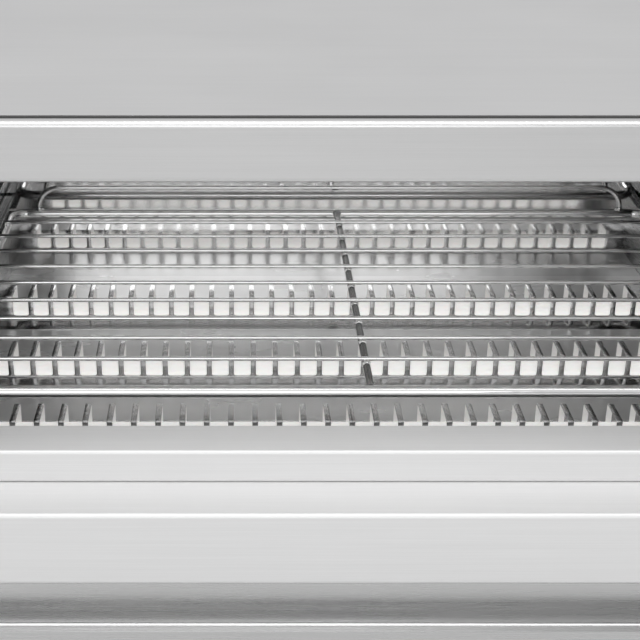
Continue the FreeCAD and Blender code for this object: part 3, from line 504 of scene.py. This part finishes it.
def rack():
    """Frame rod, crosswires, runner and back stop with their welds."""
    low, high = spans("rack_frame")
    x0, x1, y0, y1 = low.x + ROD, high.x - ROD, low.y + ROD, high.y - ROD
    z = (low.z + high.z) / 2
    corners = [(x0, y0, z), (x1, y0, z), (x1, y1, z), (x0, y1, z)]
    loop = rounded_path(corners, FRAME_CORNER, 12, closed=True)
    verts, faces = swept(loop, ROD, FRAME_SIDES, closed=True)
    verts, faces = closing_twist(verts, faces, FRAME_SIDES)
    piece("chrome_frame", verts, faces, "rack", "chrome_rod", "rack_frame")

    low, high = spans("rack_crosswires")
    first, last, wire_z = low.y + WIRE, high.y - WIRE, (low.z + high.z) / 2
    ys = [first + (last - first) * i / (WIRES - 1) for i in range(WIRES)]

    def domed(along, total):
        near = min(along, total - along)
        return WIRE * math.sqrt(max(0.02, 1 - max(0.0, 1 - near / WIRE_DOME) ** 2))

    wires, welds = [], []
    for i, y in enumerate(ys):
        ends = [low.x, low.x + WIRE_STEP, low.x + WIRE_DOME]
        ends += [high.x - WIRE_DOME, high.x - WIRE_STEP, high.x]
        wires.append(swept([(x, y, wire_z) for x in ends], domed, 20))
        for side, x in enumerate((x0, x1)):
            welds.append(bead((x, y, z + ROD - 0.1), (2.0, 2.3, 0.9), i + side * 9))
    piece("chrome_crosswires", *joined(wires), "rack", "chrome_rod", "rack_crosswires")

    low, high = spans("rack_runner")
    x, runner_z = (low.x + high.x) / 2, high.z - RUNNER
    path = subdivided((x, low.y - 0.3, runner_z), (x, high.y + 0.3, runner_z), 40)

    def pinched(along, total):
        return RUNNER + 0.5 * math.exp(-(min(along, total - along) / 1.6) ** 2)

    runner = piece("chrome_runner", *swept(path, pinched, 24), "rack", "chrome_rod", "rack_runner")
    # The runner takes the darkened chrome, a painted shade.
    runner.data.materials[0] = SHADED_RUNNER_CHROME
    for i, y in enumerate(ys):
        welds.append(bead((x, y, wire_z - WIRE - 0.2), (2.6, 4.8, 2.2), i * 2.3, star=0.35))
    for i, y in enumerate((y0 + ROD, y1 - ROD)):
        welds.append(bead((x, y, runner_z), (3.4, 1.2, 2.5), i + 4))

    low, high = spans("rack_back_stop")
    sx0, sx1, top = low.x + STOP, high.x - STOP, high.z - STOP
    corners = [(sx0, y1, z + ROD - 0.4), (sx0, y1, top), (sx1, y1, top), (sx1, y1, z + ROD - 0.4)]
    path = rounded_path(corners, STOP_CORNER, 14)
    fine = subdivided(path[0], path[1], 8)[:-1] + path[1:-2] + subdivided(path[-2], path[-1], 8)

    def flared(along, total):
        return STOP + 1.4 * math.exp(-(min(along, total - along) / 1.3) ** 1.5)

    piece("chrome_back_stop", *swept(fine, flared, 24), "rack", "chrome_rod", "rack_back_stop")
    for i, stop_x in enumerate((sx0, sx1)):
        welds.append(bead((stop_x, y1, z + ROD - 0.2), (4.2, 2.6, 1.1), i + 2))
    welded = piece("chrome_welds", *joined(welds), "rack", "chrome_rod")
    # The welds take the brightened chrome, a painted highlight.
    welded.data.materials[0] = LIT_WELD_CHROME


# ---- heater cages -------------------------------------------------------------------------
CAGE_SHEET = 0.8
CAGE_BEND = 1.2            # to the middle of the sheet
STRIP_PITCH = 16.0
STRIP_HALF = 2.0
SLOT_CORNER = 1.8
RAIL = 2.0                 # height of the plain rail under the slots
FRONT_FOOT = 24.0
REAR_FOOT = 8.0
FOOT_TRIM = 0.4            # how far a foot's edge stays inside its CAD box
ARC_STEPS = 5
EDGE_BEVEL = 0.15


def cage_section(flip, y, floor, depth, height):
    """Rows along the bent sheet: (y, z, widening of the strip) with the slotted rows marked."""
    half = depth / 2 - CAGE_SHEET / 2
    base = CAGE_SHEET / 2
    top = height - CAGE_SHEET / 2
    r = CAGE_BEND

    def arc(cy, cz, start, end):
        span = range(ARC_STEPS + 1)
        turns = [math.radians(start + (end - start) * i / ARC_STEPS) for i in span]
        return [(cy + r * math.cos(t), cz + r * math.sin(t)) for t in turns]

    rail = [(-half - FRONT_FOOT + FOOT_TRIM, base), (-half - r, base)]
    rail += arc(-half - r, base + r, -90, 0)[1:]
    corner = [(RAIL + SLOT_CORNER * s, SLOT_CORNER * (1 - math.sqrt(1 - (1 - s) ** 2)))
              for s in (0.0, 0.15, 0.4, 0.7, 1.0)]
    rows = [(a, b, None) for a, b in rail]
    rows += [(-half, b, widen) for b, widen in corner]
    rows += [(a, b, 0.0) for a, b in arc(-half + r, top - r, 180, 90)]
    rows += [(a, b, 0.0) for a, b in arc(half - r, top - r, 90, 0)]
    rows += [(half, b, widen) for b, widen in reversed(corner)]
    rows += [(a, b, None) for a, b in arc(half + r, base + r, 180, 270)[1:]]
    rows.append((half + REAR_FOOT - FOOT_TRIM, base, None))
    sign = -1 if flip else 1
    return [(y + a, floor + sign * b, widen) for a, b, widen in rows]


def cage(name, flip):
    """Slotted guard with rounded slots and bends, in place of a CAD cage."""
    low, high = spans(name)
    floor = high.z if flip else low.z
    height = high.z - low.z
    depth = high.y - low.y - FRONT_FOOT - REAR_FOOT + 2 * CAGE_SHEET
    y = low.y + FRONT_FOOT - CAGE_SHEET + depth / 2
    rows = cage_section(flip, y, floor, depth, height)
    middle = (low.x + high.x) / 2
    count = int((high.x - low.x) / 2 // STRIP_PITCH)
    centres = [middle + STRIP_PITCH * k for k in range(1 - count, count)]
    first = middle - STRIP_PITCH * count + STRIP_HALF
    verts, faces, grid = [], [], []
    for a, b, widen in rows:
        flare = SLOT_CORNER if widen is None else widen
        edges = [low.x, first + flare]
        for centre in centres:
            edges += [centre - STRIP_HALF - flare, centre + STRIP_HALF + flare]
        edges += [2 * middle - first - flare, high.x]
        grid.append([len(verts) + i for i in range(len(edges))])
        verts += [(x, a, b) for x in edges]
    for i, (upper, lower) in enumerate(zip(grid, grid[1:])):
        plain = rows[i][2] is None or rows[i + 1][2] is None
        for k in range(len(upper) - 1):
            if plain or k % 2 == 0:
                faces.append((upper[k], upper[k + 1], lower[k + 1], lower[k]))
    made = piece("guard_" + name, verts, faces, "housing", "guard", name)
    sheet = made.modifiers.new("sheet", "SOLIDIFY")
    sheet.thickness = CAGE_SHEET * MM
    sheet.offset = 0
    edge = made.modifiers.new("edge", "BEVEL")
    edge.width = EDGE_BEVEL * MM
    edge.segments = 2
    edge.limit_method = "ANGLE"
    edge.angle_limit = math.radians(60)
    baked(made, 40)


rack()
for heater in ("front", "middle", "rear"):
    cage("lower_cage_" + heater, False)
    cage("upper_cage_" + heater, True)


# ---- controls -----------------------------------------------------------------------------
KNOB_SKIRT = 23.0
KNOB_PROFILE = [(0.0, 8.0), (0.0, 22.2), (0.3, 22.8), (0.9, KNOB_SKIRT), (2.2, KNOB_SKIRT),
                (3.0, 22.4), (3.6, 20.8), (4.4, 18.9), (5.4, 18.0), (6.5, 17.9), (12.0, 17.4),
                (18.2, 16.7), (19.2, 16.2), (19.8, 15.2), (20.0, 13.8), (20.0, 6.0), (20.0, 0.5)]
KNOB_SIDES = 288
FLUTES = 36
FLUTE_DEPTH = 0.016        # share of the radius
KNOB_FRONT = 24.0          # from the knob's back to the front of its grip
GRIP_WIDTH = 6.4
GRIP_DEPTH = 5.0
GRIP_HALF = 15.6
GRIP_TAPER = 0.86          # front face of the grip against its back
POINTER_HALF = 0.7
POINTER_LOW, POINTER_HIGH = 4.5, 12.6


def knob_origin(name):
    """Middle of a CAD knob's back."""
    low, high = spans(name)
    return Vector(((low.x + high.x) / 2, high.y, (low.z + high.z) / 2))


def knob(name, body):
    """Fluted skirt and cap with a bevelled grip bar, in place of a CAD knob."""
    def flutes(turn, along):
        return 1 - FLUTE_DEPTH * max(0.0, math.cos(FLUTES * turn)) if 5.5 < along < 18.5 else 1.0

    origin = knob_origin(name)
    shell = lathe(KNOB_PROFILE, origin, KNOB_SIDES, flutes)
    piece("knob_" + name, *shell, body, "knob_black", name, sharp=50)
    grip("grip_" + name, origin, body)
    pointer("pointer_" + name, origin, body)


def grip(name, origin, body):
    """Bar across a knob's cap, with rounded edges."""
    shape = bmesh.new()
    bmesh.ops.create_cube(shape, size=1)
    for vert in shape.verts:
        taper = 1.0 if vert.co.y > 0 else GRIP_TAPER
        vert.co.x = origin.x + vert.co.x * GRIP_WIDTH * taper
        vert.co.y = origin.y - KNOB_FRONT + (vert.co.y + 0.5) * GRIP_DEPTH
        vert.co.z = origin.z + vert.co.z * 2 * GRIP_HALF * taper
    edges = shape.edges[:]
    bmesh.ops.bevel(shape, geom=edges, offset=1.2, segments=4, affect="EDGES", profile=0.6)
    verts = [v.co.copy() for v in shape.verts]
    faces = [tuple(v.index for v in f.verts) for f in shape.faces]
    shape.free()
    piece(name, verts, faces, body, "knob_black")


def pointer(name, origin, body):
    """White line on a grip's front."""
    x, y, z = origin.x, origin.y - KNOB_FRONT - 0.12, origin.z
    marks = [(x - POINTER_HALF, y, z + POINTER_LOW), (x + POINTER_HALF, y, z + POINTER_LOW),
             (x + POINTER_HALF, y, z + POINTER_HIGH), (x - POINTER_HALF, y, z + POINTER_HIGH)]
    back = [(a, y + 0.5, c) for a, _, c in marks]
    faces = [(0, 1, 2, 3), (7, 6, 5, 4), (0, 4, 5, 1), (1, 5, 6, 2), (2, 6, 7, 3), (3, 7, 4, 0)]
    made = piece(name, marks + back, faces, body, "knob_black")
    made.data.materials[0] = PRINT_WHITE


def printed(name, loops):
    """Thin printed marks on the control panel's face."""
    face_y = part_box("control_panel")[0].y / MM - 0.05
    parts = []
    for loop in loops:
        front = [Vector((x, face_y, z)) for x, z in loop]
        back = [Vector((x, face_y + 0.1, z)) for x, z in loop]
        count = len(loop)
        faces = [tuple(range(count)), tuple(reversed(range(count, 2 * count)))]
        faces += [(i, (i + 1) % count, (i + 1) % count + count, i + count) for i in range(count)]
        parts.append((front + back, faces))
    made = piece(name, *joined(parts), "housing", "knob_black")
    made.data.materials[0] = PRINT_DARK
    return made


TICK_INNER = 24.6
LONG_TICK = (28.2, 0.45)   # outer radius and half width
SHORT_TICK = (26.8, 0.28)


def dial(name, knob_node, marks, sweep):
    """A ring of ticks round a knob, longer every fifth, from straight up clockwise."""
    x, _, z = knob_origin(knob_node)
    loops = []
    for i in range(marks):
        turn = math.radians(90 - sweep * i / (marks - 1))
        long = i % 5 == 0
        inner = TICK_INNER
        outer, half = LONG_TICK if long else SHORT_TICK
        way, side = (math.cos(turn), math.sin(turn)), (-math.sin(turn), math.cos(turn))
        corners = [(inner, -half), (outer, -half), (outer, half), (inner, half)]
        loops.append([(x + way[0] * a + side[0] * b, z + way[1] * a + side[1] * b) for a, b in corners])
    printed(name, loops)


def print_finish(name, tone):
    """Screen-printed ink."""
    s = Shader(name)
    speck = s.noise((800, 800, 800), 2.0)
    s.colour(s.spread(speck, 0.0, 1.0), tuple(c * 0.85 for c in tone), tone)
    s.link(s.spread(speck, 0.45, 0.6), 0, s.surface, "Roughness")
    return s.material


PRINT_WHITE = print_finish("print_white", (0.82, 0.82, 0.80))
PRINT_DARK = print_finish("print_dark", (0.03, 0.03, 0.03))
knob("timer_knob", "timer")
knob("selector_knob", "selector")
dial("timer_scale", "timer_knob", 16, 300)
dial("selector_scale", "selector_knob", 4, 270)


# ---- studio -------------------------------------------------------------------------------
def studio():
    """Pale floor, even sky and two soft lights."""
    world = bpy.data.worlds.new("studio")
    world.use_nodes = True
    tree = world.node_tree
    background = tree.nodes["Background"]
    coords = tree.nodes.new("ShaderNodeTexCoord")
    split = tree.nodes.new("ShaderNodeSeparateXYZ")
    ramp = tree.nodes.new("ShaderNodeValToRGB")
    tree.links.new(coords.outputs["Generated"], split.inputs[0])
    tree.links.new(split.outputs["Z"], ramp.inputs["Fac"])
    tree.links.new(ramp.outputs["Color"], background.inputs["Color"])
    ramp.color_ramp.elements[0].color = (0.62, 0.62, 0.63, 1)
    ramp.color_ramp.elements[1].color = (1.0, 1.0, 1.0, 1)
    ramp.color_ramp.elements[1].position = 0.6
    background.inputs["Strength"].default_value = 0.8
    bpy.context.scene.world = world
    bpy.context.scene.view_settings.view_transform = "Standard"

    def softbox(name, place, target, size, power):
        lamp = bpy.data.lights.new(name, "AREA")
        lamp.shape = "RECTANGLE"
        lamp.size, lamp.size_y = size
        lamp.energy = power
        holder = bpy.data.objects.new(name, lamp)
        holder.location = place
        holder.rotation_euler = (Vector(target) - Vector(place)).to_track_quat("-Z", "Y").to_euler()
        bpy.context.scene.collection.objects.link(holder)

    softbox("key", (-0.15, -2.2, 0.95), (-0.04, -0.1, 0.15), (1.3, 0.8), 7.0)
    softbox("top", (0.0, -0.55, 1.9), (0, -0.2, 0.2), (1.8, 0.6), 16.0)

    mesh = bpy.data.meshes.new("studio_floor")
    reach = 4.0
    corners = [(-reach, -reach, 0), (reach, -reach, 0), (reach, reach, 0), (-reach, reach, 0)]
    mesh.from_pydata(corners, [], [(0, 1, 2, 3)])
    floor = bpy.data.objects.new("studio_floor", mesh)
    pale = Shader("floor_paper")
    fibre = pale.noise((300, 300, 300), 3.0)
    pale.colour(pale.spread(fibre, 0.0, 1.0), (0.66, 0.66, 0.66), (0.70, 0.70, 0.70))
    pale.set(Roughness=0.8)
    mesh.materials.append(pale.material)
    bpy.context.scene.collection.objects.link(floor)


LENS = 77.5
SHIFT = 0.133
TILT = 24.4                # degrees below level
EYE_FROM_REAR_ROD = Vector((-0.0774, -1.0681, 0.3886))


def camera():
    """Looks down into the mouth from the front, a little left of the rack's middle."""
    low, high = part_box("rack_frame")
    rod_radius = (high.z - low.z) / 2
    rear_rod = Vector(((low.x + high.x) / 2, high.y - rod_radius, (low.z + high.z) / 2))
    data = bpy.data.cameras.new("camera")
    data.lens = LENS
    data.shift_x = SHIFT
    data.clip_start = 0.05
    eye = bpy.data.objects.new("camera", data)
    eye.location = rear_rod + EYE_FROM_REAR_ROD
    eye.rotation_euler = (math.radians(90 - TILT), 0, 0)
    bpy.context.scene.collection.objects.link(eye)
    bpy.context.scene.camera = eye


studio()
camera()
